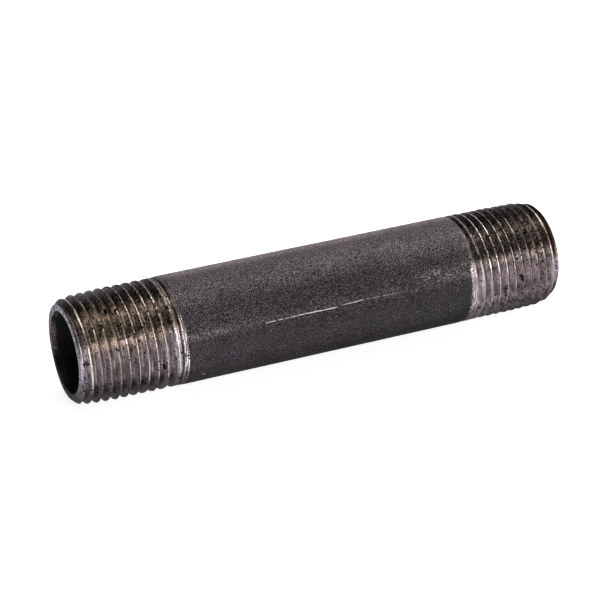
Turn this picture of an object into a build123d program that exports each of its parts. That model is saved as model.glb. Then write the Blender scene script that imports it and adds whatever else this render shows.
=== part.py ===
from build123d import *
import math
import os

# Straight threaded pipe nipple, NPS 1/2, schedule 40, both ends 1/2-14 NPT.
# Millimetres. The pipe axis lies along X with the middle of the pipe at the
# origin; +Z is up. The near end is at -X, the far end at +X.

# ---- pipe
nipple_length = 101.6          # 4 in, end face to end face
pipe_od = 21.336               # NPS 1/2 outside diameter, 0.840 in
wall = 2.769                   # schedule 40 wall, 0.109 in
half_length = nipple_length / 2
outer_radius = pipe_od / 2
bore_radius = outer_radius - wall

# ---- thread: lengths are measured along the axis from the end face
pitch = 25.4 / 14              # 14 threads per inch
taper_slope = 1 / 32           # radius gained per length: 1 in 16 on diameter
pitch_dia_end = 19.264         # E0, pitch diameter at the end face
full_thread_length = 13.556    # L2, last thread with a full root
total_thread_length = 19.85    # L4, where the vanishing thread runs out
root_truncation = 0.033 * pitch
crest_truncation = 0.060 * pitch
near_phase = -30.0             # groove angle at the end face, from local +Y towards +Z
far_phase = -137.0

sharp_height = pitch * math.sqrt(3) / 2
root_radius_end = pitch_dia_end / 2 - sharp_height / 2 + root_truncation
crest_radius_end = pitch_dia_end / 2 + sharp_height / 2 - crest_truncation
root_radius_full = root_radius_end + full_thread_length * taper_slope
vanish_slope = (outer_radius - root_radius_full) / (total_thread_length - full_thread_length)

# ---- groove cutter
groove_height = 0.802 * pitch  # root to top, standing clear of the crests
root_half_width = root_truncation / math.sqrt(3)
top_half_width = root_half_width + groove_height / math.sqrt(3)
groove_lead_in = 1.30 * pitch  # least overrun outside the end face
groove_run_out = 0.75 * pitch  # least overrun past the vanishing thread
points_per_turn = 18           # spline points on each turn of a rail

# ---- crest lands and end bevels
land_drop = 0.02               # the die shaves the crest lands this far below the pipe
land_end = 19.92               # where the crest lands reach the full pipe again
crest_cone_length = (outer_radius - land_drop - crest_radius_end) / taper_slope
chamfer_length = 1.00          # outside chamfer, along the axis
chamfer_radial = 1.00          # outside chamfer, on the radius
ream_depth = 0.90              # inside bevel left by the reamer, along the axis
ream_radial = 0.18             # inside bevel, on the radius

# ---- films
lacquer_thickness = 0.08       # outside film on the plain barrel
lacquer_start_near = 21.0      # film edge, measured from the near end face
lacquer_start_far = 20.0       # film edge, measured from the far end face
bore_film_thickness = 0.08     # film lining the bore
bore_film_setback = 1.0        # film edge inside each mouth


def revolved(outline):
    """Solid of revolution about X from a closed outline of (x, radius) points."""
    profile = Wire.make_polygon([Vector(x, 0, radius) for x, radius in outline], close=True)
    return revolve(Face(profile), Axis.X, 360)


def ring(x_start, x_end, inner, outer):
    return revolved([(x_start, inner), (x_end, inner), (x_end, outer), (x_start, outer)])


def rail_point(offset, turn, slope, phase):
    """Point and tangent per turn on a rail, with turn 0 at the last full root."""
    axial_offset, radial_offset = offset
    x = full_thread_length + turn * pitch
    radius = root_radius_full + (x - full_thread_length) * slope + radial_offset
    turn_rate = 2 * math.pi / pitch
    angle = math.radians(phase) + turn_rate * x
    cosine, sine = math.cos(angle), math.sin(angle)
    point = Vector(x + axial_offset, radius * cosine, radius * sine)
    tangent = Vector(
        1.0,
        slope * cosine - radius * turn_rate * sine,
        slope * sine + radius * turn_rate * cosine,
    )
    return point, tangent * pitch


def rail_edge(offset, turn, slope, phase):
    """Spline along one turn of a rail."""
    fractions = [i / points_per_turn for i in range(points_per_turn + 1)]
    samples = [rail_point(offset, turn + fraction, slope, phase) for fraction in fractions]
    return Edge.make_spline(
        [point for point, _ in samples],
        tangents=[samples[0][1], samples[-1][1]],
        parameters=fractions,
        scale=False,
    )


def thread_groove(phase):
    """Solid V groove, with the end face at x = 0 and the thread running to +X.

    Each turn is four ruled faces between four helical rails, two at the root
    and two above the crest. All turns and two end caps are sewn into one solid.
    """
    # (axial, radial) offsets of the rails, in order around the section
    rails = [
        (-root_half_width, 0.0),
        (root_half_width, 0.0),
        (top_half_width, groove_height),
        (-top_half_width, groove_height),
    ]
    # Turns are counted from the change of slope, so no rail runs through the kink
    turns_before = math.ceil((full_thread_length + groove_lead_in) / pitch)
    turns_after = math.ceil((total_thread_length + groove_run_out - full_thread_length) / pitch)

    faces = []
    for turn in range(-turns_before, turns_after):
        slope = taper_slope if turn < 0 else vanish_slope
        edges = [rail_edge(rail, turn, slope, phase) for rail in rails]
        for i in range(4):
            faces.append(Face.make_surface_from_curves(edges[i], edges[(i + 1) % 4]))
    for turn, slope in ((-turns_before, taper_slope), (turns_after, vanish_slope)):
        corners = [rail_point(rail, turn, slope, phase)[0] for rail in rails]
        faces.append(Face(Wire.make_polygon(corners, close=True)))
    return Solid(Shell(Face.sew_faces(faces)[0]))


def blank():
    """Tube with the crest cones, end chamfers and reamed mouths."""
    chamfer_top = crest_radius_end + chamfer_length * taper_slope
    # (distance from the end face, radius), the same at both ends
    inside = [(ream_depth, bore_radius), (0, bore_radius + ream_radial)]
    outside = [
        (0, chamfer_top - chamfer_radial),
        (chamfer_length, chamfer_top),
        (crest_cone_length, outer_radius - land_drop),
        (land_end, outer_radius),
    ]
    near_outside = [(distance - half_length, radius) for distance, radius in outside]
    far_end = [(half_length - distance, radius) for distance, radius in inside + outside]
    near_inside = [(distance - half_length, radius) for distance, radius in inside]
    return revolved(near_outside + far_end[::-1] + near_inside)


def pipe_body():
    """Steel pipe with a thread cut at each end."""
    near_groove = Pos(-half_length, 0, 0) * thread_groove(near_phase)
    far_groove = Pos(half_length, 0, 0) * (Rot(0, 0, 180) * thread_groove(far_phase))
    return blank() - near_groove - far_groove


def lacquer_film():
    """Film on the outside of the barrel, between the threads."""
    return ring(
        -half_length + lacquer_start_near,
        half_length - lacquer_start_far,
        outer_radius,
        outer_radius + lacquer_thickness,
    )


def bore_film():
    """Film lining the bore, set back from both mouths."""
    film_end = half_length - bore_film_setback
    return ring(-film_end, film_end, bore_radius - bore_film_thickness, bore_radius)


os.makedirs("parts", exist_ok=True)
for build in (pipe_body, lacquer_film, bore_film):
    export_step(build(), f"parts/{build.__name__}.step")
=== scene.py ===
"""A short steel pipe nipple with a tapered thread at each end.

The pipe axis is X and its middle is the origin. The near end is at -X, the far end at +X.
Angles round the pipe are in degrees: 0 at the back (+Y), 90 on top, 180 at the front (-Y).
Three pieces: the threaded steel, a lacquer film on the barrel and a dark lining in the bore.
Lengths are in millimetres until a mesh or a node needs metres.
"""
import math

import bmesh
import bpy
import numpy as np
from mathutils import Matrix, Vector


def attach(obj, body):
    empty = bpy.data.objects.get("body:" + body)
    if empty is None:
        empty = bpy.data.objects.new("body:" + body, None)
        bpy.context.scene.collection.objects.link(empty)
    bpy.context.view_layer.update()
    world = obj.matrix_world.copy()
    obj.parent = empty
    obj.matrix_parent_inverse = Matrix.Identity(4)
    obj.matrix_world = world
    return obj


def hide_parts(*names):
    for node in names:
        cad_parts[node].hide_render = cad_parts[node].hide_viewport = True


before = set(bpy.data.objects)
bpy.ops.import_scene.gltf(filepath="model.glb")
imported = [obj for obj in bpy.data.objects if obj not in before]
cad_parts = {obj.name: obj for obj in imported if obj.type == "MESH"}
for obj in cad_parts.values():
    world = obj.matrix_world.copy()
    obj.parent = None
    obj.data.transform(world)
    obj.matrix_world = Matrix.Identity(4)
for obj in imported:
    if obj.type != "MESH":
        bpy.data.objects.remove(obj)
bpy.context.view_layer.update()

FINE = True
TAU = 2 * math.pi
MM = 0.001

# --------------------------------------------------------------------------
# driving dimensions
# --------------------------------------------------------------------------
PIPE_HALF = 50.8
BARREL_R = 10.668
BORE_R = 7.899
PITCH = 25.4 / 14
PITCH_R = 9.632                     # thread pitch radius at the end face
TAPER = 1 / 32                      # radius gained per mm along the thread
SHARP_DEPTH = PITCH * math.sqrt(3) / 2
ROOT_CUT, CREST_CUT = 0.033 * PITCH, 0.060 * PITCH
ROOT_R = PITCH_R - SHARP_DEPTH / 2 + ROOT_CUT
CREST_R = PITCH_R + SHARP_DEPTH / 2 - CREST_CUT
ROOT_HALF_W = ROOT_CUT / math.sqrt(3)
FACE_R = CREST_R + TAPER - 1.0      # outer edge of the flat end face
REAM = 0.18                         # how far the reamed mouth stands outside the bore
FILM_T = 0.08
LINING_T, LINING_BACK = 0.08, 1.0   # thickness, and distance kept from the end faces

# --------------------------------------------------------------------------
# the threads: x is always measured inward from the end's own face
# --------------------------------------------------------------------------
PHASE = {"near": -30.0, "far": -137.0}
RUN = {"near": (16.4, 20.9), "far": (15.9, 20.2)}   # groove starts to get shallow, groove ends
ZONE_LENGTH = {"near": 21.35, "far": 20.6}
# how the cut turns drift from an even pitch: even x, real x
DRIFT = {
    "near": (
        [-20, 3, 14.6, 16.43, 17.3, 18.24, 19.9, 40],
        [-20, 3, 14.88, 16.85, 17.9, 19.26, 20.6, 40.7],
    ),
    "far": ([-20, 2, 16, 18, 40], [-20, 2, 15.55, 17.55, 39.55]),
}
# limit on the radius at the mouth: the 45 degree chamfer, then the worn first crest
CHAMFER_X = [0.0, 0.72, 1.0, 2.2, 2.7, 30.0]
CHAMFER_R = [FACE_R, FACE_R + 0.72, 10.17, 10.24, 10.8, 12.0]
ROOT_LIFT, CREST_LIFT = 0.08, 0.16  # added to the theoretical root and crest radii
LIP_HEIGHT, LIP_WIDTH = 0.15, 0.20
WEAR_DEPTH = 0.05
# single marks: x, angle, half size along x, half size round the pipe, depth
MARKS = {
    "near": [
        (16.35, 190, 0.26, 0.62, 0.10), (16.6, 183, 0.12, 0.20, 0.05),
        (8.9, 115.5, 0.26, 0.22, 0.08), (7.0, 116, 0.24, 0.20, 0.07),
        (16.4, 137, 0.22, 0.28, 0.06), (7.3, 200, 0.24, 0.22, 0.08),
        (5.5, 196, 0.20, 0.24, 0.07), (3.7, 195, 0.16, 0.22, 0.06),
        (12.7, 210, 0.34, 0.26, 0.08), (7.2, 220, 0.22, 0.30, 0.08),
        (0.72, 168, 0.30, 0.50, 0.05), (1.38, 167, 0.12, 0.40, 0.05),
        (0.62, 184, 0.26, 0.42, 0.05), (0.55, 201, 0.18, 0.40, 0.04),
        (2.75, 151, 0.10, 0.16, 0.05), (11.0, 191, 0.12, 0.30, 0.05),
        (18.0, 209, 0.5, 0.5, 0.05), (19.7, 211, 0.4, 0.4, 0.05),
    ],
    "far": [
        (3.6, 178.5, 0.13, 0.12, 0.06), (8.9, 173.5, 0.13, 0.12, 0.06),
        (8.75, 190, 0.12, 0.14, 0.05), (12.5, 191, 0.14, 0.20, 0.06),
        (16.2, 185, 0.16, 0.12, 0.06), (10.7, 194, 0.14, 0.12, 0.05),
        (9.2, 208, 0.22, 0.32, 0.07), (2.5, 213, 0.40, 0.75, 0.08),
        (10.7, 169, 0.20, 0.10, 0.05), (2.0, 189.5, 0.26, 0.14, 0.05),
        (5.6, 112, 0.24, 0.20, 0.05), (7.6, 121, 0.20, 0.40, 0.05),
    ],
}
# rows of torn pits: x, first angle, last angle, count
ROWS = {
    "near": [
        (5.3, 116, 134, 6), (7.2, 112, 132, 6), (9.2, 113, 128, 6),
        (14.9, 112, 128, 6), (16.6, 112, 132, 8), (18.7, 112, 128, 5),
    ],
    "far": [
        (8.9, 170, 196, 9), (12.45, 180, 196, 8), (5.9, 112, 128, 5), (14.0, 114, 138, 8),
        (15.6, 118, 150, 9), (16.8, 120, 150, 8), (17.9, 120, 146, 7),
    ],
}
# raised slivers where the thread runs out: x, half width, height, noise seed
TEARS = {
    "near": [(20.02, 0.10, 0.10, 201), (20.42, 0.09, 0.10, 203), (20.78, 0.10, 0.12, 205)],
    "far": [(18.45, 0.09, 0.08, 211), (18.95, 0.10, 0.09, 213), (19.45, 0.08, 0.08, 215)],
}
COLUMNS = 288 if FINE else 144      # mesh columns round the steel
# mesh lines across one thread, as parts of the pitch from groove to groove
if FINE:
    LINES = [0.0, 0.045, 0.15, 0.27, 0.37, 0.43, 0.468, 0.5, 0.532, 0.57, 0.65, 0.80, 0.955]
else:
    LINES = [0.0, 0.05, 0.25, 0.42, 0.5, 0.58, 0.75, 0.95]
# rings down the reamed mouth: depth from the face, radius outside the bore,
# and how much of the ream radius and of the burr noise is added
MOUTH_RINGS = [
    (0.015, 0.0, 1, 0.0), (0.10, -0.035, 1, 0.0), (0.35, 0.10, 0, 0.5), (0.62, 0.055, 0, 0.3),
    (0.90, 0.002, 0, 0.0), (1.3, 0.0, 0, 0.0), (3.0, 0.0, 0, 0.0),
]

# --------------------------------------------------------------------------
# the seam along the film: world X against angle, and X against strength
# --------------------------------------------------------------------------
SEAM_X = [-31, -29.3, -20.7, -13.5, -6.6, 1.2, 2.3, 6.7, 15.0, 31]
SEAM_DEG = [165.0, 164.8, 162.8, 162.7, 162.1, 162.2, 161.2, 160.7, 161.1, 160.5]
SEAM_GAIN_X = [
    -31, -29.5, -21, -20, -14, -13.5, -11.8, -11.5, -11.3, -11.0, -10.3, -10.0, -9.8, -9.5,
    1.0, 1.4, 2.1, 2.5, 3.1, 3.35, 3.6, 4.5, 4.7, 4.9, 6.6, 7.1, 15.0, 16.0, 31,
]
SEAM_GAIN = [
    0.2, 0.30, 0.30, 0.12, 0.15, 0.85, 0.90, 0.2, 0.2, 0.85, 0.90, 0.25, 0.25, 1.0,
    1.0, 0.0, 0.0, 1.0, 0.9, 0.45, 0.9, 0.8, 0.5, 0.9, 0.8, 0.62, 0.50, 0.08, 0.03,
]

# -------------------------------------------------------------------------- painted light and shade: brightness factor by angle round the pipe, as degrees and factor
# brightness by angle round the pipe: degrees, factor
# --------------------------------------------------------------------------
LACQUER_PAINTED_LIGHT = [
    (0, 0.60), (30, 0.65), (58, 1.50), (70, 1.15), (78, 0.92), (88, 0.48), (112, 0.54),
    (120, 0.50), (128, 0.40), (135, 0.30), (152, 0.26), (160, 0.36), (172, 0.45), (192, 0.42),
    (214, 0.40), (250, 0.45), (300, 0.55), (360, 0.60),
]
STEEL_PAINTED_LIGHT_NEAR = [
    (0, 1.0), (50, 1.0), (70, 1.1), (78, 0.50), (86, 0.20), (94, 0.20), (102, 0.44),
    (110, 1.33), (118, 2.10), (126, 0.74), (134, 0.66), (142, 0.50), (150, 2.35), (158, 0.92),
    (166, 1.18), (174, 1.13), (182, 0.83), (190, 0.77), (198, 1.50), (206, 1.60), (216, 1.25),
    (235, 1.0), (260, 0.95), (360, 1.0),
]
STEEL_PAINTED_LIGHT_FAR = [
    (0, 1.0), (50, 1.0), (70, 1.4), (78, 0.58), (86, 0.26), (94, 0.26), (102, 0.34),
    (110, 0.78), (118, 1.20), (126, 0.50), (134, 0.52), (142, 0.42), (150, 1.90), (158, 0.60),
    (166, 1.30), (174, 1.52), (182, 0.98), (190, 0.74), (198, 2.2), (206, 3.0), (216, 2.4),
    (235, 1.3), (260, 1.0), (360, 1.0),
]
# the flat end faces: painted shade, darkest from the underside round to the back
FACE_PAINTED_SHADE = [
    (0, 0.26), (25, 0.50), (50, 0.80), (75, 1.0), (200, 1.0), (215, 0.85), (235, 0.70),
    (255, 0.36), (300, 0.16), (335, 0.14), (360, 0.26),
]
# how far the painted highlight on the first far crest is cut back, by angle
FAR_CREST_HIGHLIGHT_CUT = [(0, 1.3), (88, 1.3), (96, 0.6), (116, 0.6), (126, 1.5), (360, 1.5)]

# --------------------------------------------------------------------------
# room: light directions and colours, fill above the horizon, and
# floor brightness that reflections see, by Y in mm: painted light in front of the pipe, painted
# shadow under it
# --------------------------------------------------------------------------
LIGHTS = [
    ((0.99, 0.0, 0.139), (3.0, 1.9, 2.1)),
    ((0.801, 0.582, 0.139), (3.4, 2.9, 2.9)),
    ((0.306, 0.942, 0.139), (0.74, 0.66, 0.74)),
    ((0.306, -0.942, 0.139), (4.9, 4.8, 5.2)),
    ((0.801, -0.582, 0.139), (6.0, 5.6, 4.8)),
    ((0.824, 0.268, 0.5), (5.1, 4.8, 4.8)),
    ((0.174, 0.0, 0.985), (2.3, 2.4, 2.35)),
]
LIGHT_CORE_DEG, LIGHT_EDGE_DEG = 7, 27
ROOM_TINT = (1.0, 0.95, 0.95)
ROOM_BELOW, ROOM_FILL = 0.25, 0.04
# painted light on the floor in front of the pipe, painted shadow under it
FLOOR_SEEN_LIGHT_AND_SHADOW = [
    (-100, 0.05), (-88, 0.78), (-46, 0.80), (-36, 1.65), (-16, 1.75), (-12, 0.18),
    (12, 0.18), (40, 0.18), (48, 0.26), (110, 0.28), (400, 0.25),
]
FLOOR_HALF_M = 3
FLOOR_GAP = 0.05                    # between the film and the floor

CAMERA_LENS, CAMERA_SENSOR = 143.11184, 36.0
CAMERA_FORWARD = (0.3582, 0.7993, -0.4825)
CAMERA_PLACE_M = (-0.1715, -0.3801, 0.2288)


# --------------------------------------------------------------------------
# numeric helpers
# --------------------------------------------------------------------------
def smooth_min(a, b, blend):
    h = np.clip(0.5 + 0.5 * (b - a) / blend, 0, 1)
    return b * (1 - h) + a * h - blend * h * (1 - h)


def smooth_max(a, b, blend):
    return -smooth_min(-a, -b, blend)


def smooth_step(x, start, end):
    t = np.clip((x - start) / (end - start), 0, 1)
    return t * t * (3 - 2 * t)


def grid_noise(along, turn, n_along, n_turn, seed):
    """Value noise in -1..1: along runs 0..1, turn is one turn and wraps."""
    grid = np.random.default_rng(seed).random((n_along + 2, n_turn)) * 2 - 1
    u = np.clip(along, 0, 1) * n_along
    v = (turn % 1.0) * n_turn
    iu, iv = np.floor(u).astype(int), np.floor(v).astype(int)
    tu, tv = u - iu, v - iv
    tu, tv = tu * tu * (3 - 2 * tu), tv * tv * (3 - 2 * tv)
    iv0, iv1 = iv % n_turn, (iv + 1) % n_turn
    a = grid[iu, iv0] * (1 - tv) + grid[iu, iv1] * tv
    b = grid[iu + 1, iv0] * (1 - tv) + grid[iu + 1, iv1] * tv
    return a * (1 - tu) + b * tu


def ring_noise(turn, n_turn, seed):
    """Noise that depends on the angle only."""
    return grid_noise(np.full_like(turn, 0.5), turn, 3, n_turn, seed)


def wrap(angle):
    """Angle difference in radians, in -pi..pi."""
    return (angle + math.pi) % TAU - math.pi


def tube_points(x, r, angle):
    y, z = r * np.cos(angle), r * np.sin(angle)
    return np.stack(np.broadcast_arrays(x, y, z), -1)


# --------------------------------------------------------------------------
# mesh assembly: quads given as vertex ids, with their own UV corners
# --------------------------------------------------------------------------
U_START, U_SPAN = 0.004, 0.992      # UV range of one turn


def uv_corners(ua, ub, va, va_next, vb_next, vb):
    corners = ((ua, va), (ub, va_next), (ub, vb_next), (ua, vb))
    return np.stack([np.stack(np.broadcast_arrays(u, v), -1) for u, v in corners], -2)


class MeshBuild:
    def __init__(self):
        self.points, self.attributes, self.quads, self.uvs = [], {}, [], []
        self.count = 0

    def add(self, points, **attributes):
        """Adds vertices, each with every attribute of the mesh, and returns their ids."""
        points = np.asarray(points, float).reshape(-1, 3)
        ids = np.arange(self.count, self.count + len(points))
        self.points.append(points)
        for name, value in attributes.items():
            value = np.broadcast_to(np.ravel(value), len(points))
            self.attributes.setdefault(name, []).append(value)
        self.count += len(points)
        return ids

    def quad(self, ids, uv):
        self.quads.append(ids.reshape(-1, 4))
        self.uvs.append(uv.reshape(-1, 4, 2))

    def rings(self, a, b, va, vb):
        """Joins two rings of equal vertex count; va and vb are their V rows."""
        n = len(a)
        j = np.arange(n)
        k = (j + 1) % n
        ua, ub = U_START + U_SPAN * j / n, U_START + U_SPAN * (j + 1) / n
        self.quad(np.stack([a[j], a[k], b[k], b[j]], 1), uv_corners(ua, ub, va, va, vb, vb))

    def make(self, name):
        points = np.concatenate(self.points)
        quads, uvs = np.concatenate(self.quads), np.concatenate(self.uvs)
        faces, face_uv = [], []
        for quad, uv in zip(quads.tolist(), uvs.tolist()):
            # merged vertices turn a quad into a triangle or nothing
            keep = [i for i in range(4) if quad[i] != quad[i - 1]]
            if len({quad[i] for i in keep}) < 3:
                continue
            faces.append([quad[i] for i in keep])
            face_uv.extend(uv[i] for i in keep)
        used = np.zeros(len(points), bool)
        used[[i for face in faces for i in face]] = True
        new = np.cumsum(used) - 1
        mesh = bpy.data.meshes.new(name)
        mesh.from_pydata(
            (points[used] * MM).tolist(), [], [[int(new[i]) for i in face] for face in faces]
        )
        mesh.uv_layers.new(name="OFBake")
        mesh.uv_layers["OFBake"].uv.foreach_set("vector", np.array(face_uv, np.float32).ravel())
        mesh.polygons.foreach_set("material_index", np.zeros(len(faces), np.int32))
        for key, parts in self.attributes.items():
            values = np.concatenate(parts)[used].astype(np.float32)
            mesh.attributes.new(key, "FLOAT", "POINT").data.foreach_set("value", values)
        mesh.update()
        mesh.shade_smooth()
        mesh.set_sharp_from_angle(angle=math.radians(40))
        obj = bpy.data.objects.new(name, mesh)
        bpy.context.scene.collection.objects.link(obj)
        # normals point out of the solid
        bm = bmesh.new()
        bm.from_mesh(mesh)
        if bm.calc_volume(signed=True) < 0:
            bmesh.ops.reverse_faces(bm, faces=bm.faces)
            bm.to_mesh(mesh)
        bm.free()
        return obj


# --------------------------------------------------------------------------
# the threaded steel
# --------------------------------------------------------------------------
def thread_radius(x, angle, end):
    """Radius, groove height (0 root, 1 crest), place across the thread, and land."""
    near = end == "near"
    seed = 11 if near else 53
    run_start, run_end = RUN[end]
    turn = angle / TAU
    along = x / 24.0
    even, real = DRIFT[end]
    turns = np.interp(x, real, even) / PITCH - (angle - math.radians(PHASE[end])) / TAU
    across = turns - np.round(turns)
    from_root = np.abs(across) * PITCH
    runout = np.clip((x - run_start) / (run_end - run_start), 0, 1)
    root0 = ROOT_R + ROOT_LIFT + x * TAPER
    root = root0 + (BARREL_R + 0.02 - root0) * runout ** 2.2
    base = smooth_min(CREST_R + CREST_LIFT + x * TAPER, BARREL_R, 0.03)
    # lips thrown up beside the groove, worn lower here and there
    groove_edge = ROOT_HALF_W + (base - root) / math.sqrt(3)
    beyond = np.maximum(from_root - groove_edge, 0)
    wear = (
        0.5
        + 0.35 * grid_noise(along, turn, 13, 22, seed)
        + 0.25 * grid_noise(along, turn, 26, 90, seed + 1)
    )
    growth = smooth_step(x, 3.0, 9.0)
    if not near:
        growth = 0.6 * smooth_step(x, 1.4, 3.2) + 0.4 * growth
    lip = LIP_HEIGHT * np.clip(wear, 0, 1) * np.exp(-((beyond / LIP_WIDTH) ** 2))
    lip = lip * (1 - smooth_step(x, 19.2, 20.4)) * growth
    worn = base + lip - WEAR_DEPTH * np.clip(1 - wear, 0, 1) * (1 - smooth_step(x, 18, 20))
    flank = root + np.maximum(from_root - ROOT_HALF_W, 0) * math.sqrt(3)
    flank = smooth_max(flank, root + 0.02, 0.05)
    r = smooth_min(flank, worn, 0.05 + 0.10 * runout)
    chamfer = np.interp(x, CHAMFER_X, CHAMFER_R)
    r = smooth_min(r, chamfer, 0.05)
    height = np.clip((r - root) / np.maximum(np.minimum(base, chamfer) - root, 0.05), 0, 1)
    side = 2 * across if near else -2 * across     # above 0 on the flank that faces -X
    land = smooth_step(beyond, 0.05, 0.16) * (chamfer > base)
    return r, height, side, land


def dents(x, angle, r, end):
    """Nicks along the crests and small pits in the flanks: new radius and pit mask."""
    near = end == "near"
    rng = np.random.default_rng(7 if near else 8)
    phase = math.radians(PHASE[end])
    pit = np.zeros_like(x)
    change = np.zeros_like(x)

    def spot(x0, angle0, half_x, half_arc, radius=10.2):
        arc = wrap(angle - angle0) * radius
        return np.exp(-((arc / half_arc) ** 2) - ((x - x0) / half_x) ** 2)

    def own_angle(deg):
        return math.radians(deg if near else 180 - deg)

    for _ in range(120):            # nicks that follow the crests
        angle0 = rng.random() * TAU
        k = rng.integers(0, 11)
        x0 = PITCH * (k + 0.5 + (angle0 - phase) / TAU % 1.0) + rng.normal() * 0.10
        x0 = float(np.interp(x0, *DRIFT[end]))
        if x0 > 19.4 or x0 < 0.2:
            continue
        half_arc, half_x = rng.uniform(0.15, 0.70), rng.uniform(0.10, 0.26)
        depth = rng.uniform(0.02, 0.10)
        g = spot(x0, angle0, half_x, half_arc, radius=10.3)
        change -= depth * g
        pit += 0.5 * g * (depth > 0.07)
    for _ in range(230):            # pits anywhere
        angle0 = rng.random() * TAU
        x0 = rng.uniform(0.8, 19.6)
        size = rng.uniform(0.06, 0.17)
        g = spot(x0, angle0, size, size * rng.uniform(0.9, 1.8), radius=9.9)
        change -= 0.05 * g
        pit += g * rng.uniform(0.35, 1.0)
    for x0, deg, half_x, half_arc, depth in MARKS[end]:
        g = spot(x0, own_angle(deg), half_x, half_arc)
        change -= depth * g
        pit += (1.3 if near else 0.90) * g
    for x0, deg0, deg1, count in ROWS[end]:
        for _ in range(count):
            angle0 = own_angle(rng.uniform(deg0, deg1))
            pit_x = x0 + rng.normal() * 0.13
            size = rng.uniform(0.09, 0.20)
            g = spot(pit_x, angle0, size, size * 1.3)
            change -= 0.06 * g
            pit += (1.2 if near else 0.85) * g
    return r + change, np.clip(pit, 0, 1)


def add_tears(x, angle, r, end):
    """Thin raised slivers beside the film: new radius and sliver mask. Takes the world angle."""
    near = end == "near"
    turn = (angle / TAU) % 1.0
    top, mid = (1.0, 1.0) if near else (0.35, 0.55)
    strength = np.interp(
        turn * 360,
        [0, 60, 82, 130, 160, 200, 216, 260, 360],
        [0.3, 0.5 * top, top, top, mid, mid, 0.6 * mid, 0.35, 0.3],
    )
    tear = np.zeros_like(x)
    for x0, half_width, height, seed in TEARS[end]:
        path = x0 + 0.10 * ring_noise(turn, 11, seed) + 0.40 * np.cos(angle - math.radians(200))
        gate = smooth_step(ring_noise(turn, 34, seed + 1), -0.35, 0.25) * strength
        if near and x0 > 20.3:
            gate = gate * np.interp(turn * 360, [0, 130, 152, 360], [0.35, 0.35, 1.0, 1.0])
        g = np.exp(-(((x - path) / half_width) ** 2)) * gate
        r = r + height * g
        tear = np.maximum(tear, g)
    return r, tear


def thread_zone(mesh, end, v_face, v_inner):
    """Grid whose lines follow the helix. Returns the rings at the face and at the inner end."""
    length = ZONE_LENGTH[end]
    outward = -1 if end == "near" else 1
    shift = len(LINES)              # one turn moves a line on by this many
    columns = TAU * np.arange(COLUMNS) / COLUMNS
    lines = np.concatenate([k + np.array(LINES) for k in range(-2, 12)])
    lead = (columns - math.radians(PHASE[end])) / TAU
    reach = lines[None, :] * PITCH + lead[:, None] * PITCH
    # whole pitches are taken off so that column 0 starts before the face
    whole = math.floor(reach[0, 0] / PITCH) + 2
    reach = np.interp(reach - whole * PITCH, *DRIFT[end])
    x = np.clip(reach, 0, length)
    angle = np.broadcast_to(columns[:, None], x.shape)
    r, height, side, land = thread_radius(x, angle, end)
    r, pit = dents(x, angle, r, end)
    world_angle = angle if end == "near" else (math.pi - angle)
    r, tear = add_tears(x, world_angle, r, end)
    ids = mesh.add(
        np.stack(
            [outward * (PIPE_HALF - x), -outward * r * np.cos(angle), r * np.sin(angle)], -1
        ),
        hgt=height, pit=pit, xmm=x, side=side, land=land, tear=tear,
        cs=np.cos(world_angle), sn=np.sin(world_angle), th=(world_angle / TAU) % 1.0, zone=1.0,
    ).reshape(x.shape)
    # clamped vertices of a column are one vertex
    first = np.argmax(reach > 0, axis=1) - 1
    last = np.argmax(reach >= length, axis=1)
    place = np.arange(x.shape[1])[None, :]
    rows = np.arange(COLUMNS)
    ids = np.where(place <= first[:, None], ids[rows, first][:, None], ids)
    ids = np.where(place >= last[:, None], ids[rows, last][:, None], ids)
    v = v_face + (v_inner - v_face) * x / length

    def next_column(grid):
        closing = np.concatenate([grid[0, shift:], np.full(shift, grid[0, -1])])
        return np.vstack([grid[1:], closing[None]])

    next_ids, next_v = next_column(ids), next_column(v)
    ua = (U_START + U_SPAN * rows / COLUMNS)[:, None]
    ub = ua + U_SPAN / COLUMNS
    mesh.quad(
        np.stack([ids[:, :-1], next_ids[:, :-1], next_ids[:, 1:], ids[:, 1:]], -1),
        uv_corners(ua, ub, v[:, :-1], next_v[:, :-1], next_v[:, 1:], v[:, 1:]),
    )
    face, inner = ids[:, 0], ids[:, -1]
    if end == "far":                # reorder to the near end's columns
        order = (COLUMNS // 2 - rows) % COLUMNS
        face, inner = face[order], inner[order]
    return face, inner


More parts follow.
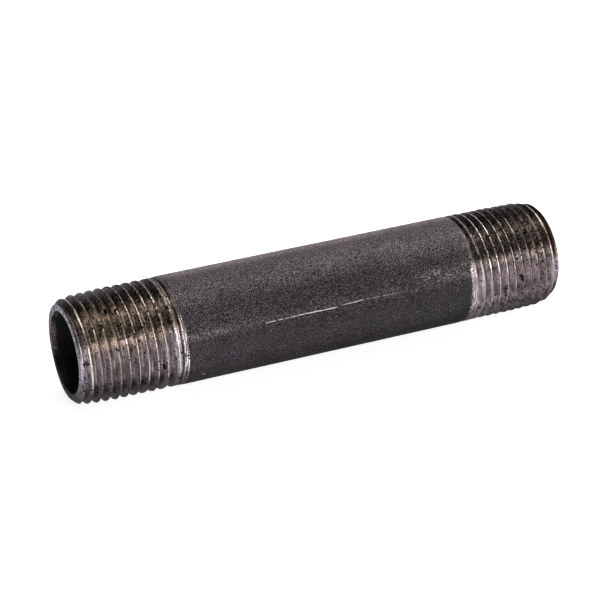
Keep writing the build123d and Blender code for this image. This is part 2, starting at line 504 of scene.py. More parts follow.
def steel():
    mesh = MeshBuild()
    angle = TAU * np.arange(COLUMNS) / COLUMNS
    turn = angle / TAU

    def ring(x, r, depth, zone):
        return mesh.add(
            tube_points(x, r, angle),
            hgt=1.0, pit=0.0, xmm=depth, side=0.0, land=0.0, tear=0.0,
            cs=np.cos(angle), sn=np.sin(angle), th=turn, zone=zone,
        )

    near_face, near_inner = thread_zone(mesh, "near", v_face=0.004, v_inner=0.330)
    far_face, far_inner = thread_zone(mesh, "far", v_face=0.340, v_inner=0.666)
    # barrel under the film, with the short bare bands beside it
    last, last_v = near_inner, 0.675
    for x in (-PIPE_HALF + 22.0, PIPE_HALF - 21.5):
        new = ring(x, BARREL_R, depth=PIPE_HALF - abs(x), zone=1.0)
        new_v = 0.675 + 0.08 * (x + PIPE_HALF) / (2 * PIPE_HALF)
        mesh.rings(last, new, last_v, new_v)
        last, last_v = new, new_v
    mesh.rings(last, far_inner, last_v, 0.755)
    points = np.concatenate(mesh.points)

    def mouth(face, outward, v0, seed):
        """End face, reamed mouth and start of the bore. Returns the last ring in the bore."""
        face_r = np.hypot(points[face][:, 1], points[face][:, 2])
        burr = 0.02 * ring_noise(turn, 40, seed)
        ream_r = BORE_R + REAM + 0.03 * ring_noise(turn, 9, seed + 3)
        # depth, radius, zone and V of each ring
        rings = [
            (0.0, face_r + (ream_r + 0.03 - face_r) * f, 2.0, v0 + 0.045 * f)
            for f in (0.12, 0.35, 0.6, 0.82, 0.94)
        ]
        for depth, beyond, reamed, burr_part in MOUTH_RINGS:
            r = (ream_r if reamed else BORE_R) + beyond + burr * burr_part
            rings.append((depth, r, 3.0, v0 + 0.047 + 0.02 * depth))
        last, last_v = face, v0
        for depth, r, zone, new_v in rings:
            new = ring(outward * (PIPE_HALF - depth), r, depth=depth, zone=zone)
            if outward < 0:
                mesh.rings(new, last, new_v, last_v)
            else:
                mesh.rings(last, new, last_v, new_v)
            last, last_v = new, new_v
        return last

    near_bore = mouth(near_face, -1, v0=0.765, seed=71)
    far_bore = mouth(far_face, 1, v0=0.880, seed=72)
    mesh.rings(far_bore, near_bore, 0.996, 0.985)
    return mesh.make("pipe_steel")


# --------------------------------------------------------------------------
# the two thin skins: film on the barrel, lining in the bore
# --------------------------------------------------------------------------
def skin_faces(mesh, grid, hidden, along, outward):
    """Joins the seen grid to its two hidden rings, which lie against the steel."""
    order = 1 if outward else -1
    v = 0.004 + 0.93 * along
    for i in range(len(grid) - 1):
        a, b = (i, i + 1)[::order]
        mesh.rings(grid[a], grid[b], v[a], v[b])
    for pair, va, vb in (
        ((hidden[0], grid[0]), 0.945, 0.955),
        ((grid[-1], hidden[1]), 0.962, 0.972),
        ((hidden[1], hidden[0]), 0.98, 0.995),
    ):
        a, b = pair[::order]
        mesh.rings(a, b, va, vb)


def film_edges(angle):
    """Irregular ends of the film, as X at each angle."""
    turn = angle / TAU
    near = -PIPE_HALF + 20.85 + 0.40 * np.cos(angle - math.radians(200))
    far = PIPE_HALF - 19.75 - 0.60 * np.cos(angle - math.radians(195))
    # depth, cells round the pipe, seed
    for depth, cells, seed in ((0.14, 17, 21), (0.12, 41, 22), (0.07, 110, 23)):
        near = near + depth * ring_noise(turn, cells, seed)
    for depth, cells, seed in ((0.10, 13, 31), (0.06, 37, 32), (0.04, 110, 33)):
        far = far - depth * ring_noise(turn, cells, seed)
    return near, far


def film():
    mesh = MeshBuild()
    columns, rows = (296, 240) if FINE else (120, 60)
    # even columns, and closer ones where the seam runs
    even = 360.0 * np.arange(columns) / columns
    ring_angle = np.radians(np.sort(np.concatenate([even, np.arange(159.45, 164.6, 0.36)])))
    near, far = film_edges(ring_angle)
    s = np.linspace(0, 1, rows)
    x = near[None, :] + (far - near)[None, :] * s[:, None]
    angle = np.broadcast_to(ring_angle[None, :], x.shape)
    along = (x + 31) / 62.0
    turn = angle / TAU
    relief = (
        0.010 * grid_noise(along, turn, 18, 20, 41)
        + 0.008 * grid_noise(along, turn, 70, 78, 42)
        + 0.010 * grid_noise(along, turn, 150, 170, 43)
    )
    # seam along the pipe: a thin ridge with a step under it, whose mask also carries a painted
    # shadow
    seam_deg = np.interp(x, SEAM_X, SEAM_DEG) + 0.25 * grid_noise(along, turn * 0, 60, 3, 44)
    arc = np.degrees(wrap(angle - np.radians(seam_deg))) * 0.1876   # mm of arc per degree
    gate = np.interp(x, SEAM_GAIN_X, SEAM_GAIN)
    broken = smooth_step(grid_noise(along, turn * 0, 110, 3, 45), -0.55, 0.0)
    gate = gate * np.where((x > -13.6) & (x < 7.0), 0.60 + 0.32 * broken, broken)
    ridge = np.exp(-((arc / 0.10) ** 2)) * gate
    shade_by_ridge = np.exp(-(((arc - 0.26) / 0.16) ** 2)) * np.clip(gate, 0, 1)
    relief = relief + 0.040 * ridge - 0.030 * shade_by_ridge
    edge = np.minimum(x - near, far - x)
    thick = FILM_T * (0.45 + 0.55 * smooth_step(edge, 0, 0.5))
    r = BARREL_R + thick + np.clip(relief, -0.035, 0.05) * smooth_step(edge, 0, 0.4)

    def add(x, r, angle, edge, seam, shade_by_ridge):
        return mesh.add(
            tube_points(x, r, angle), edge=edge, seam=seam, shade_by_ridge=shade_by_ridge,
            cs=np.cos(angle), sn=np.sin(angle), th=angle / TAU,
        )

    grid = add(x, r, angle, edge, ridge, shade_by_ridge).reshape(x.shape)
    hidden_r = BARREL_R + 0.002
    hidden = [add(end, hidden_r, ring_angle, edge=0, seam=0, shade_by_ridge=0) for end in (near, far)]
    skin_faces(mesh, grid, hidden, s, outward=True)
    return mesh.make("barrel_lacquer")


def lining():
    mesh = MeshBuild()
    columns, rows = (128, 200) if FINE else (64, 50)
    ring_angle = TAU * np.arange(columns) / columns
    s = np.linspace(0, 1, rows)
    half = PIPE_HALF - LINING_BACK
    near = -half + 0.12 * ring_noise(ring_angle / TAU, 31, 61)
    far = half - 0.12 * ring_noise(ring_angle / TAU, 31, 62)
    x = near[None, :] + (far - near)[None, :] * s[:, None]
    angle = np.broadcast_to(ring_angle[None, :], x.shape)
    along, turn = (x + PIPE_HALF) / (2 * PIPE_HALF), angle / TAU
    rough = 0.014 * grid_noise(along, turn, 60, 24, 63)
    rough = rough + 0.010 * grid_noise(along, turn, 180, 60, 64)
    edge = np.minimum(x - near, far - x)
    fade = smooth_step(edge, 0, 0.6)
    r = BORE_R - LINING_T * (0.4 + 0.6 * fade) + rough * fade
    grid = mesh.add(tube_points(x, r, angle), depth=edge).reshape(x.shape)
    hidden = [
        mesh.add(tube_points(end, BORE_R - 0.003, ring_angle), depth=0) for end in (near, far)
    ]
    skin_faces(mesh, grid, hidden, s, outward=False)
    return mesh.make("bore_scale")


# --------------------------------------------------------------------------
# shader graph helpers
# --------------------------------------------------------------------------
class Value:
    """A node output that can be added, multiplied and ramped like a number."""

    def __init__(self, graph, socket):
        self.graph, self.socket = graph, socket

    def __add__(self, other):
        return self.graph.math("ADD", self, other)

    def __radd__(self, other):
        return self.graph.math("ADD", other, self)

    def __sub__(self, other):
        return self.graph.math("SUBTRACT", self, other)

    def __rsub__(self, other):
        return self.graph.math("SUBTRACT", other, self)

    def __mul__(self, other):
        return self.graph.math("MULTIPLY", self, other)

    def __abs__(self):
        return self.graph.math("ABSOLUTE", self)

    def most(self, other):
        return self.graph.math("MAXIMUM", self, other)

    def clamped(self):
        """Clamps the math node behind this value to 0..1."""
        self.socket.node.use_clamp = True
        return self

    def ramp(self, start, end, low=0, high=1, smooth=True):
        """Low at start, high at end, held outside. Start may lie above end."""
        return self.graph.node(
            "MapRange",
            {"Value": self, "From Min": start, "From Max": end, "To Min": low, "To Max": high},
            interpolation_type="SMOOTHSTEP" if smooth else "LINEAR",
            clamp=True,
        )

    def window(self, zero_a, full_a, zero_b, full_b):
        """1 between full_a and full_b, falling to 0 at zero_a and zero_b."""
        return self.ramp(zero_a, full_a) * self.ramp(zero_b, full_b)

    def peak(self, centre, zero, full):
        """1 within full of the centre, 0 beyond zero."""
        return abs(self - centre).ramp(zero, full)

    def curve(self, points):
        """Straight pieces through (x, y) points."""
        total = None
        for (x0, y0), (x1, y1) in zip(points, points[1:]):
            step = self.ramp(x0, x1, high=y1 - y0, smooth=False)
            total = step if total is None else total + step
        return total + points[0][1]

    def scaled(self, factor):
        """This colour times a number."""
        inputs = {0: self, "Scale": factor}
        return self.graph.node("VectorMath", inputs, operation="SCALE")


class Graph:
    def __init__(self, tree):
        self.tree = tree
        tree.nodes.clear()

    def set(self, socket, value):
        if isinstance(value, Value):
            self.tree.links.new(value.socket, socket)
        elif isinstance(value, tuple) and len(value) == 3 and socket.type == "RGBA":
            socket.default_value = (*value, 1)
        else:
            socket.default_value = value

    def add(self, kind, inputs={}, **settings):
        made = self.tree.nodes.new("ShaderNode" + kind)
        for key, value in settings.items():
            setattr(made, key, value)
        for key, value in inputs.items():
            self.set(made.inputs[key], value)
        return made

    def node(self, kind, inputs={}, output=0, **settings):
        return Value(self, self.add(kind, inputs, **settings).outputs[output])

    def math(self, operation, *operands):
        return self.node("Math", dict(enumerate(operands)), operation=operation)

    def axes(self, vector):
        return [Value(self, out) for out in self.add("SeparateXYZ", {0: vector}).outputs]

    def by_viewer(self, reflections, camera):
        """One shader for the camera and another for every other ray."""
        is_camera = self.node("LightPath", output="Is Camera Ray")
        return self.node("MixShader", {0: is_camera, 1: reflections, 2: camera})


class Material(Graph):
    """A principled material whose base colour is painted in layers."""

    def __init__(self, name):
        self.material = bpy.data.materials.new(name)
        self.material.use_nodes = True
        super().__init__(self.material.node_tree)
        self.bsdf = self.add("BsdfPrincipled")
        self.shader = Value(self, self.bsdf.outputs[0])
        self.output = self.add("OutputMaterial", {0: self.shader})
        self.base = None

    def attr(self, name):
        return self.node("Attribute", output="Fac", attribute_name=name)

    def coords(self, scale=(1, 1, 1), offset=(0, 0, 0)):
        place = self.node("TexCoord", output="Object")
        return self.node("Mapping", {"Vector": place, "Scale": scale, "Location": offset})

    def noise(self, vector, scale, detail, rough):
        inputs = {"Vector": vector, "Scale": scale, "Detail": detail, "Roughness": rough}
        return self.node("TexNoise", inputs, output="Fac")

    def cells(self, vector, scale):
        return self.node("TexVoronoi", {"Vector": vector, "Scale": scale}, output="Distance")

    def mix(self, mask, a, b, mode="MIX"):
        inputs = {0: mask, 6: a, 7: b}
        return self.node("Mix", inputs, output=2, data_type="RGBA", blend_type=mode)

    def paint(self, mask, color, mode="MIX"):
        """Lays a colour over the base colour where the mask is 1."""
        self.base = self.mix(mask, self.base, color, mode)

    def angle(self):
        """Angle round the pipe in degrees, and X in mm."""
        x, y, z = self.axes(self.coords())
        deg = self.math("ARCTAN2", z, y) * (180 / math.pi)
        return self.math("MODULO", deg + 360.0, 360.0), x * 1000.0

    def radius(self):
        """Distance from the pipe axis in mm."""
        _, y, z = self.axes(self.coords())
        return self.math("SQRT", y * y + z * z) * 1000.0

    def bump(self, height, strength, distance, normal=None):
        inputs = {"Strength": strength, "Distance": distance, "Height": height}
        if normal is not None:
            inputs["Normal"] = normal
        return self.node("Bump", inputs)

    def finish(self, **inputs):
        """Sets principled inputs; an underscore stands for a space in a name."""
        for key, value in inputs.items():
            self.set(self.bsdf.inputs[key.replace("_", " ")], value)
        return self.material


# --------------------------------------------------------------------------
# cut steel, in layers. Inputs shared by the parts: deg and x_mm place a point,
# hgt is 0 at the root and 1 at the crest, side runs across the thread (0 root,
# 1 crest), xmm and gap are distances from the end face.
# --------------------------------------------------------------------------
PIT_COLOR = (0.012, 0.009, 0.010)


def steel_ground(steel, deg, hgt, thread, far_end, streak, mott, grit, patch, shade_blotch_noise):
    """Bare steel, stains and scale, with painted reflection tints and painted shade. Returns the
    oil and warm reflection tint masks.
    """
    streaks = streak.ramp(0.34, 0.66)
    steel.base = steel.mix(streaks, (0.265, 0.225, 0.232), (0.420, 0.365, 0.378))
    steel.paint(mott.ramp(0.40, 0.62, high=0.45), (0.50, 0.44, 0.45))
    steel.paint(mott.ramp(0.46, 0.32, high=0.55), (0.150, 0.120, 0.118))
    # warm oil film in patches, thicker low in the groove
    warm = patch.ramp(0.44, 0.66) * hgt.ramp(0.05, 0.75, low=0.80, high=0.35)
    steel.paint(warm, (0.205, 0.155, 0.105))
    # painted reflection tints by angle: warm straw over the upper front, lilac from the front to
    # underneath
    warm_reflection_tint = deg.window(78, 112, 168, 138)
    warm_reflection_tint *= 0.85 - far_end * 0.50
    steel.paint(warm_reflection_tint, (1.06, 0.94, 0.80), "MULTIPLY")
    steel.paint(deg.window(152, 168, 300, 260), (0.98, 0.98, 1.05), "MULTIPLY")
    steel.paint(deg.window(134, 145, 166, 155), (0.98, 1.03, 1.06), "MULTIPLY")
    steel.paint(deg.ramp(92, 78), (1.04, 0.94, 1.00), "MULTIPLY")
    # painted light and shade by angle, multiplied into the colour
    painted_light_by_angle = steel.mix(far_end, deg.curve(STEEL_PAINTED_LIGHT_NEAR), deg.curve(STEEL_PAINTED_LIGHT_FAR))
    steel.paint(1.0, painted_light_by_angle, "MULTIPLY")
    # painted shade in blotches on top, where the flanks face the dark room
    top_shade = deg.ramp(66, 80) * deg.ramp(138, 108, low=0.25)
    steel.paint(shade_blotch_noise.ramp(0.46, 0.57) * (top_shade * 0.85), (0.024, 0.019, 0.015))
    # grains of scale and bare metal, weakest low on the front
    busy = deg.ramp(172, 150, low=0.35)
    busy = busy.most(deg.ramp(215, 260, low=0.35))
    steel.paint(grit.ramp(0.50, 0.57) * (busy * 0.85), (0.028, 0.021, 0.018))
    # pale grains of bare metal, painted bright as glints
    vector = steel.coords((3, 1, 1), (0.7, 0.2, 0.4))
    pale = steel.noise(vector, scale=2600, detail=1, rough=0.5)
    metal = steel.mix(warm_reflection_tint, (0.70, 0.66, 0.66), (0.90, 0.80, 0.58))
    steel.paint(pale.ramp(0.545, 0.62) * (busy * 0.70), metal)
    # towards the back and underneath, grooves fall into shade
    dim = deg.ramp(84, 68).most(deg.ramp(196, 214, high=0.55))
    dim *= thread * hgt.ramp(0.85, 0.30)
    steel.paint(dim * 0.70, (0.060, 0.040, 0.048))
    # painted shade underneath, in blotches
    underside_shade = deg.ramp(192, 208) * shade_blotch_noise.ramp(0.46, 0.56)
    steel.paint(underside_shade * 0.55, (0.080, 0.054, 0.068))
    return warm, warm_reflection_tint


def steel_crests(steel, deg, hgt, xmm, side, near_end, far_end, streak2, warm_reflection_tint):
    """Painted shade beside the crests and a painted highlight on the crest line. Returns the
    highlight mask.
    """
    # painted shade: dark edge of the flank that faces -X, then the whole flank that faces +X
    shade_by_ridge = side.ramp(0.70, 0.84) * side.ramp(0.95, 0.90, low=1, high=1)
    shade_by_ridge *= abs(side).ramp(0.965, 0.91)
    ridge_shade_streaks = streak2.ramp(0.30, 0.60, low=0.35, high=0.85)
    steel.paint(shade_by_ridge * ridge_shade_streaks, (0.075, 0.058, 0.052))
    steel.paint(side.ramp(-0.45, -0.80) * 0.45, (0.160, 0.125, 0.095))
    # dull ring near the far mouth
    dull = far_end * xmm.peak(1.95, zero=0.60, full=0.35)
    dull *= deg.ramp(152, 136)
    steel.paint(dull * 0.70, (0.075, 0.055, 0.050))
    # painted highlight on the crest line, partly bare worn metal, wider near the mouth
    edge = abs(side) + xmm.ramp(12, 6, high=0.12)
    crest_highlight = edge.ramp(0.86, 0.95) * hgt.ramp(0.50, 0.80)
    crest_highlight *= streak2.ramp(0.34, 0.56, low=0.40)
    # weaker on one flank where the thread runs out
    left = side.ramp(0, 0.1) * xmm.ramp(17.2, 18)
    crest_highlight *= 1 - left * 0.75
    # weaker at the far end, on the front and on the first crest
    quiet = far_end * deg.ramp(152, 166) * 1.25
    quiet = quiet.most(far_end * xmm.ramp(3.2, 2.4) * deg.curve(FAR_CREST_HIGHLIGHT_CUT))
    crest_highlight *= (1 - quiet * 0.65).clamped()
    # weaker on the front of the near end, and underneath
    calm = near_end * (deg.ramp(140, 152) * xmm.ramp(5, 9, low=0.25, high=0.48))
    crest_highlight *= 1 - calm
    crest_highlight *= deg.ramp(212, 196).most(deg.ramp(240, 300, high=0.6))
    steel.paint(crest_highlight * 0.92, steel.mix(warm_reflection_tint, (0.82, 0.78, 0.80), (0.90, 0.82, 0.66)))
    return crest_highlight


def steel_grooves(steel, deg, hgt, xmm, side, land, near_end, far_end, streak2, mott):
    """Roots with dirt and painted shade, torn lines painted bright as glints, remaining skin and
    a painted highlight on the last crest. Returns the torn line and skin masks.
    """
    # dirt and painted shade held in the root
    root = hgt.ramp(0.22, 0.02) * streak2.ramp(0.35, 0.6, low=0.3, high=0.8)
    steel.paint(root, (0.085, 0.066, 0.046))
    # pale torn line close beside the root, on the flank that faces -X, painted bright as a glint
    torn_line_glint = side.peak(0.09, zero=0.12, full=0.05)
    torn_line_glint *= streak2.ramp(0.40, 0.58, low=0.1)
    torn_line_glint *= deg.window(108, 120, 205, 188)
    torn_line_glint *= 1 - far_end * 0.85
    torn_line_glint *= xmm.ramp(17, 14.5, low=0.25)
    steel.paint(torn_line_glint * 0.93, (1.0, 0.93, 0.74))
    # what is left of the black skin between shallow grooves
    skin = land * xmm.ramp(14.5, 17.5)
    skin *= mott.ramp(0.42, 0.52, high=0.8)
    skin *= deg.ramp(165, 140, low=0.25)
    steel.paint(skin, (0.045, 0.038, 0.038))
    # painted highlight on the last crest, on the front of the near end
    last = abs(side).ramp(0.86, 0.95) * xmm.window(18.2, 18.7, 20, 19.7)
    last *= near_end * deg.window(132, 144, 208, 196)
    last_highlight_streaks = streak2.ramp(0.36, 0.50, low=0.55, high=0.95)
    steel.paint(last * last_highlight_streaks, (0.95, 0.91, 0.92))
    return torn_line_glint, skin


def steel_marks(steel, deg, xmm, tear, pit, thread, near_end, grit):
    """Slivers beside the film, specks and pits. Returns the ragged pit mask."""
    # dark dashes with bright slivers between them
    bare = xmm.ramp(18.9 + near_end * 0.65, 20.1) * thread
    vector = steel.coords((2.2, 1, 1), (0.1, 0.9, 0.4))
    dash = steel.noise(vector, scale=1500, detail=2, rough=0.6).ramp(0.44, 0.56)
    bare *= dash.most(deg.ramp(140, 125, high=0.8))
    steel.paint(bare * 0.9, (0.050, 0.040, 0.042))
    steel.paint(tear.ramp(0.25, 0.65) * 0.95, (0.94, 0.90, 0.91))
    # dark specks and pale glints all over
    steel.paint(grit.ramp(0.635, 0.70) * 0.75, (0.035, 0.028, 0.028))
    vector = steel.coords(offset=(0.5, 0.2, 0.1))
    glint = steel.noise(vector, scale=3700, detail=1, rough=0.5).ramp(0.65, 0.72)
    steel.paint(glint * 0.5, (0.80, 0.76, 0.72))
    # small torn pits in clusters, strongest from the front downward
    dot = steel.cells(steel.coords(offset=(0.31, 0.17, 0.53)), scale=1000)
    vector = steel.coords(offset=(0.2, 0.8, 0.6))
    group = steel.noise(vector, scale=190, detail=2, rough=0.5).ramp(0.46, 0.56)
    dots = dot.ramp(0.29, 0.18) * group
    dots *= thread * (1 - deg.ramp(140, 120) * 0.5)
    vector = steel.coords((1.5, 1, 1), (0.4, 0.6, 0.2))
    ragged = steel.noise(vector, scale=2100, detail=2, rough=0.6)
    pit = (pit.most(dots) + (ragged - 0.5) * 1.5).ramp(0.38, 0.52)
    steel.paint(pit, PIT_COLOR)
    return pit


def steel_chamfer(steel, deg, gap, pit, thread, near_end, far_end, mott):
    """Lilac and brown chamfer with a painted highlight along the burr line. Returns its rusty
    and burr highlight masks.
    """
    bevel = thread * gap.ramp(1.35, 1.0)
    bevel *= deg.window(70, 95, 240, 205)
    lilac = steel.mix(mott.ramp(0.42, 0.54), (0.155, 0.125, 0.140), (0.66, 0.60, 0.67))
    brown = steel.mix(mott.ramp(0.44, 0.58), (0.032, 0.021, 0.020), (0.150, 0.100, 0.085))
    # near end: lilac by the face, browner behind it. Far end: lilac only low down
    behind = steel.mix(deg.ramp(128, 165), brown, lilac)
    band = steel.mix(gap.ramp(0.55, 0.75), lilac, behind)
    band = steel.mix(far_end, band, steel.mix(deg.ramp(150, 172), brown, lilac))
    rusty = deg.ramp(152, 138).most(deg.ramp(192, 202))
    rusty = far_end * rusty * gap.ramp(1.0, 0.6)
    rust = gap.ramp(0.45, 0.15) * deg.peak(132, zero=30, full=15)
    rust_color = steel.mix(rust, (0.034, 0.019, 0.012), (0.200, 0.095, 0.045))
    band = steel.mix(rusty, band, rust_color)
    steel.paint(bevel * 0.90, band)
    # painted highlight along the burr line round the near chamfer
    burr = gap.peak(0.52, zero=0.16, full=0.06) * thread
    burr *= deg.ramp(92, 104) * deg.ramp(176, 150, low=0.35)
    burr *= deg.ramp(225, 200) * near_end
    burr *= mott.ramp(0.40, 0.50, low=0.4)
    steel.paint(burr, (1.0, 0.93, 0.90))
    steel.paint(pit * bevel, PIT_COLOR)
    return bevel * rusty, burr


def steel_faces(steel, deg, zone, fine, patch, mott, grit):
    """Flat end faces with painted shade by angle, reamed mouths with painted light at the back,
    and a painted highlight on the inner edge. Returns face, ream, lit and lip highlight masks.
    """
    faces = zone.ramp(1.4, 1.8)
    temper = steel.mix(patch.ramp(0.40, 0.62), (0.360, 0.315, 0.365), (0.620, 0.590, 0.670))
    vector = steel.coords((1, 0.36, 1), (0.15, 0.65, 0.35))
    saw = steel.noise(vector, scale=2500, detail=2, rough=0.65)
    temper = steel.mix(saw.ramp(0.50, 0.40, high=0.90), temper, (0.085, 0.055, 0.068))
    temper = steel.mix(saw.ramp(0.56, 0.64, high=0.9), temper, (0.98, 0.96, 1.0))
    # painted shade by angle, warmer where darker
    shade = deg.curve(FACE_PAINTED_SHADE)
    tint = steel.mix(shade.ramp(0.30, 0.75), (1.10, 0.88, 0.84), (1.0, 1.0, 1.0))
    temper = steel.mix(1.0, temper, tint, "MULTIPLY").scaled(shade)
    steel.paint(faces, temper)
    # the reamed mouth: stained, with painted light at the back and painted shade, near black,
    # elsewhere
    ream = zone.ramp(2.3, 2.7)
    stain = steel.mix(patch.ramp(0.42, 0.58), (0.085, 0.052, 0.048), (0.330, 0.265, 0.310))
    stain = steel.mix(mott.ramp(0.50, 0.40, high=0.85), stain, (0.030, 0.018, 0.018))
    stain = steel.mix(grit.ramp(0.56, 0.64, high=0.8), stain, (0.72, 0.68, 0.72))
    lit = deg.ramp(322, 345).most(deg.ramp(60, 40))
    steel.paint(ream, steel.mix(lit, (0.016, 0.018, 0.015), stain))
    # painted highlight along the inner edge of the face
    lip_highlight = steel.radius().peak(BORE_R + REAM + 0.05, zero=0.13, full=0.05)
    lip_highlight *= zone.ramp(1.7, 1.95)
    lip_highlight *= deg.window(60, 88, 215, 196)
    steel.paint(lip_highlight * 0.95, (0.96, 0.98, 1.0))
    return faces, ream, lit, lip_highlight


def steel_material():
    steel = Material("cut_steel")
    names = ("hgt", "pit", "xmm", "side", "land", "tear", "zone")
    hgt, pit, xmm, side, land, tear, zone = map(steel.attr, names)
    deg, x_mm = steel.angle()
    thread = abs(zone - 1.0).ramp(0.2, 0.4, low=1, high=0)
    far_end = x_mm.ramp(-5, 5)
    near_end = 1 - far_end
    gap = PIPE_HALF - abs(x_mm)
    # streaks run round the pipe, so their noise is squeezed along the axis
    vector = steel.coords((11, 1, 1))
    streak = steel.noise(vector, scale=620, detail=3, rough=0.6)
    vector = steel.coords((7, 1, 1), (0.3, 0.1, 0.7))
    streak2 = steel.noise(vector, scale=300, detail=3, rough=0.55)
    fine = steel.coords()
    mott = steel.noise(fine, scale=2900, detail=2, rough=0.6)
    grit = steel.noise(fine, scale=4300, detail=1, rough=0.5)
    patch = steel.noise(fine, scale=420, detail=4, rough=0.6)
    vector = steel.coords((1.6, 1, 1), (0.9, 0.4, 0.1))
    shade_blotch_noise = steel.noise(vector, scale=850, detail=3, rough=0.65)

    warm, warm_reflection_tint = steel_ground(
        steel, deg, hgt, thread, far_end, streak, mott, grit, patch, shade_blotch_noise
    )
    crest_highlight = steel_crests(steel, deg, hgt, xmm, side, near_end, far_end, streak2, warm_reflection_tint)
    torn_line_glint, skin = steel_grooves(
        steel, deg, hgt, xmm, side, land, near_end, far_end, streak2, mott
    )
    pit = steel_marks(steel, deg, xmm, tear, pit, thread, near_end, grit)
    rusty, burr = steel_chamfer(steel, deg, gap, pit, thread, near_end, far_end, mott)
    faces, ream, lit, lip_highlight = steel_faces(steel, deg, zone, fine, patch, mott, grit)

    rough = streak.ramp(0.25, 0.75, low=0.22, high=0.38)
    rough = rough + warm * 0.10 - crest_highlight * 0.04 + skin * 0.22 + faces * 0.16
    rough = (rough + pit * 0.4).clamped()
    # pits, skin, pale lines, rust and the mouth in painted shade are less metallic
    metal = 0.96 - pit * 0.96
    for loss in (
        skin * 0.6,
        torn_line_glint * 0.65,
        burr.most(lip_highlight) * 0.75,
        rusty * 0.6,
        ream * ((1 - lit) * 0.8),
    ):
        metal = (metal - loss).clamped()
    normal = steel.bump(streak, strength=0.55, distance=0.00007)
    normal = steel.bump(mott, strength=0.70, distance=0.00007, normal=normal)
    ridge = gap.peak(0.50, zero=0.20, full=0) * (thread * near_end)
    normal = steel.bump(ridge, strength=0.9, distance=0.00012, normal=normal)
    return steel.finish(
        Base_Color=steel.base,
        Roughness=rough,
        Specular_IOR_Level=pit.ramp(0, 1, low=0.5, high=0.05),
        Metallic=metal,
        Normal=normal,
    )


def lacquer_material():
    lacquer = Material("black_lacquer")
    seam, shade_by_ridge, sn, cs = map(lacquer.attr, ("seam", "shade_by_ridge", "sn", "cs"))
    deg, x_mm = lacquer.angle()
    fine = lacquer.coords()
    grain = lacquer.noise(fine, scale=4300, detail=2, rough=0.7)
    vector = lacquer.coords(offset=(0.4, 0.7, 0.2))
    grain2 = lacquer.noise(vector, scale=5600, detail=1, rough=0.5)
    patch = lacquer.noise(fine, scale=170, detail=4, rough=0.6)
    vector = lacquer.coords((0.35, 1, 1), (0.2, 0.5, 0.9))
    cloud = lacquer.noise(vector, scale=260, detail=3, rough=0.6)
    # gritty speckle, smoother on the lower front
    calm = sn.ramp(0.38, 0.18) * cs.ramp(0.1, -0.2)
    dark = lacquer.mix(calm, (0.004, 0.0034, 0.004), (0.016, 0.0135, 0.0165))
    light = lacquer.mix(calm, (0.300, 0.264, 0.298), (0.084, 0.070, 0.087))
    speckle = (grain * 0.6 + grain2 * 0.4).ramp(0.45, 0.57)
    lacquer.base = lacquer.mix(speckle, dark, light)
    # broad patches and clouds
    lacquer.paint(patch.ramp(0.35, 0.7, high=0.40), (0.050, 0.046, 0.044))
    lacquer.paint(cloud.ramp(0.56, 0.72, high=0.35), (0.110, 0.098, 0.106))
    vector = lacquer.coords((0.5, 1, 1), (0.6, 0.1, 0.3))
    murk = lacquer.noise(vector, scale=95, detail=3, rough=0.55)
    lacquer.base = lacquer.base.scaled(murk.ramp(0.32, 0.68, low=0.72, high=1.28))
    lacquer.paint(grain2.ramp(0.60, 0.68) * (0.75 - calm * 0.5), (0.68, 0.63, 0.67))
    # painted light and shade by angle, on the colour and the specular level
    painted_light_by_angle = deg.curve(LACQUER_PAINTED_LIGHT)
    lacquer.base = lacquer.base.scaled(painted_light_by_angle)
    # worn specks: a band by the near threads, a patch by the far ones, a stretch by the top
    band = deg.peak(161.5, zero=7, full=1) * x_mm.ramp(-18, -25, high=0.55)
    scuff = deg.peak(151.5, zero=11, full=2) * x_mm.ramp(16, 24)
    rim = deg.peak(76, zero=10, full=2) * abs(x_mm + 3.0).ramp(13, 5, high=0.5)
    worn = band.most(scuff).most(rim)
    worn *= lacquer.noise(fine, scale=3300, detail=2, rough=0.6).ramp(0.52, 0.62)
    worn *= cloud.ramp(0.42, 0.56, low=0.08)
    lacquer.paint(worn * 0.60, (0.50, 0.47, 0.48))
    # one pale fleck low on the front, and dark scabs
    fleck = deg.peak(212, zero=1.2, full=0.3) * abs(x_mm + 26.2).ramp(0.42, 0.15)
    lacquer.paint(fleck, (0.30, 0.27, 0.24))
    vector = lacquer.coords(offset=(0.8, 0.3, 0.4))
    scab = lacquer.noise(vector, scale=620, detail=2, rough=0.5).ramp(0.70, 0.76)
    lacquer.paint(scab * 0.6, (0.012, 0.010, 0.012))
    # the seam: painted shadow along the step, bright ridge
    lacquer.paint(shade_by_ridge.ramp(0.25, 0.85) * 0.80, (0.010, 0.009, 0.010))
    lacquer.paint(seam.ramp(0.25, 0.80), (0.62, 0.60, 0.59))
    normal = lacquer.bump(grain, strength=0.75 - calm * 0.4, distance=0.00012)
    strength = 0.60 - calm * 0.35
    normal = lacquer.bump(grain2, strength=strength, distance=0.00006, normal=normal)
    return lacquer.finish(
        Base_Color=lacquer.base,
        Metallic=0.10 + seam.ramp(0.3, 0.8) * 0.6,
        Roughness=grain.ramp(0.3, 0.7, low=0.40, high=0.60),
        Specular_IOR_Level=(speckle.ramp(0, 1, low=0.12, high=0.55) * painted_light_by_angle).clamped(),
        Normal=normal,
    )


def scale_material():
    scale = Material("bore_mill_scale")
    grain = scale.noise(scale.coords(), scale=900, detail=4, rough=0.6)
    return scale.finish(
        Base_Color=scale.mix(
            grain.ramp(0.35, 0.7), (0.013, 0.016, 0.014), (0.032, 0.035, 0.031)
        ),
        Roughness=grain.ramp(0.3, 0.7, low=0.5, high=0.75),
        Metallic=0.1,
        Normal=scale.bump(grain, strength=0.5, distance=0.0001),
    )


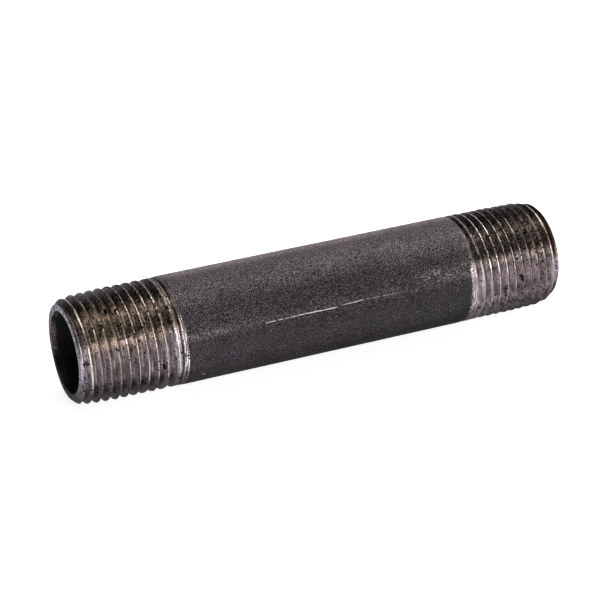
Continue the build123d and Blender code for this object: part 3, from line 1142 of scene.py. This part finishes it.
# --------------------------------------------------------------------------
# studio
# --------------------------------------------------------------------------
def floor_material():
    """Pale to the camera; reflections see strips that run along X, with painted light in front
    of the pipe and a painted shadow under it.
    """
    pale = Material("pale_floor")
    pale.finish(
        Base_Color=(0.80, 0.80, 0.80),
        Roughness=0.9,
        Specular_IOR_Level=0.0,
        Emission_Color=(1.0, 1.0, 1.0),
        Emission_Strength=0.80,
    )
    x, y, _ = pale.axes(pale.node("TexCoord", output="Object"))
    y_mm, x_mm = y * 1000.0, x * 1000.0
    # a painted pool of light on the floor past the near end
    painted_light_patch = x_mm.ramp(-52, -58) * y_mm.ramp(2, 8) * y_mm.ramp(60, 45)
    brightness = y_mm.curve(FLOOR_SEEN_LIGHT_AND_SHADOW) + painted_light_patch * 0.55
    seen = pale.node("Emission", {0: (0.97, 0.97, 1.0), 1: brightness})
    pale.set(pale.output.inputs[0], pale.by_viewer(seen, pale.shader))
    return pale.material


def floor():
    mesh = bpy.data.meshes.new("floor")
    z = -(BARREL_R + FILM_T + FLOOR_GAP) * MM
    half = FLOOR_HALF_M
    corners = [(-half, -half, z), (half, -half, z), (half, half, z), (-half, half, z)]
    mesh.from_pydata(corners, [], [(0, 1, 2, 3)])
    obj = bpy.data.objects.new("floor", mesh)
    bpy.context.scene.collection.objects.link(obj)
    mesh.materials.append(floor_material())


def room():
    """Dim room with soft round lights; the camera sees plain white."""
    world = bpy.data.worlds.new("room")
    bpy.context.scene.world = world
    world.use_nodes = True
    graph = Graph(world.node_tree)
    view = graph.node("TexCoord", output="Generated")
    height = graph.axes(view)[2]
    channels = [
        height.ramp(-0.03, 0.01, low=ROOM_BELOW * tint, high=ROOM_FILL * tint)
        for tint in ROOM_TINT
    ]
    core, edge = (math.cos(math.radians(deg)) for deg in (LIGHT_CORE_DEG, LIGHT_EDGE_DEG))
    for direction, color in LIGHTS:
        unit = np.array(direction, float)
        unit /= np.linalg.norm(unit)
        inputs = {0: view, 1: tuple(unit.tolist())}
        facing = graph.node("VectorMath", inputs, output="Value", operation="DOT_PRODUCT")
        spot = facing.ramp(edge, core)
        channels = [total + spot * part for total, part in zip(channels, color)]
    light = graph.node("CombineColor", dict(enumerate(channels)))
    lit = graph.node("Background", {0: light, 1: 1.0})
    white = graph.node("Background", {0: (1, 1, 1), 1: 1.0})
    graph.add("OutputWorld", {0: graph.by_viewer(lit, white)})


def camera():
    data = bpy.data.cameras.new("camera")
    data.sensor_width = CAMERA_SENSOR
    data.lens = CAMERA_LENS
    data.clip_start, data.clip_end = 0.01, 20.0
    obj = bpy.data.objects.new("camera", data)
    bpy.context.scene.collection.objects.link(obj)
    forward = Vector(CAMERA_FORWARD).normalized()
    right = forward.cross(Vector((0, 0, 1))).normalized()
    up = right.cross(forward)
    rows = [(*row, place) for *row, place in zip(right, up, -forward, CAMERA_PLACE_M)]
    obj.matrix_world = Matrix((*rows, (0, 0, 0, 1)))
    bpy.context.scene.camera = obj


# all three meshes are made before the first material
for obj, node, slot, make_material in (
    (steel(), "pipe_body", "steel_cut", steel_material),
    (film(), "lacquer_film", "lacquer_black", lacquer_material),
    (lining(), "bore_film", "scale_dark", scale_material),
):
    obj.data.materials.append(make_material())
    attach(obj, "root")
    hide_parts(node)

floor()
room()
view_settings = bpy.context.scene.view_settings
view_settings.view_transform = "Standard"
view_settings.look = "None"
view_settings.exposure = 0.0
view_settings.gamma = 1.0
camera()
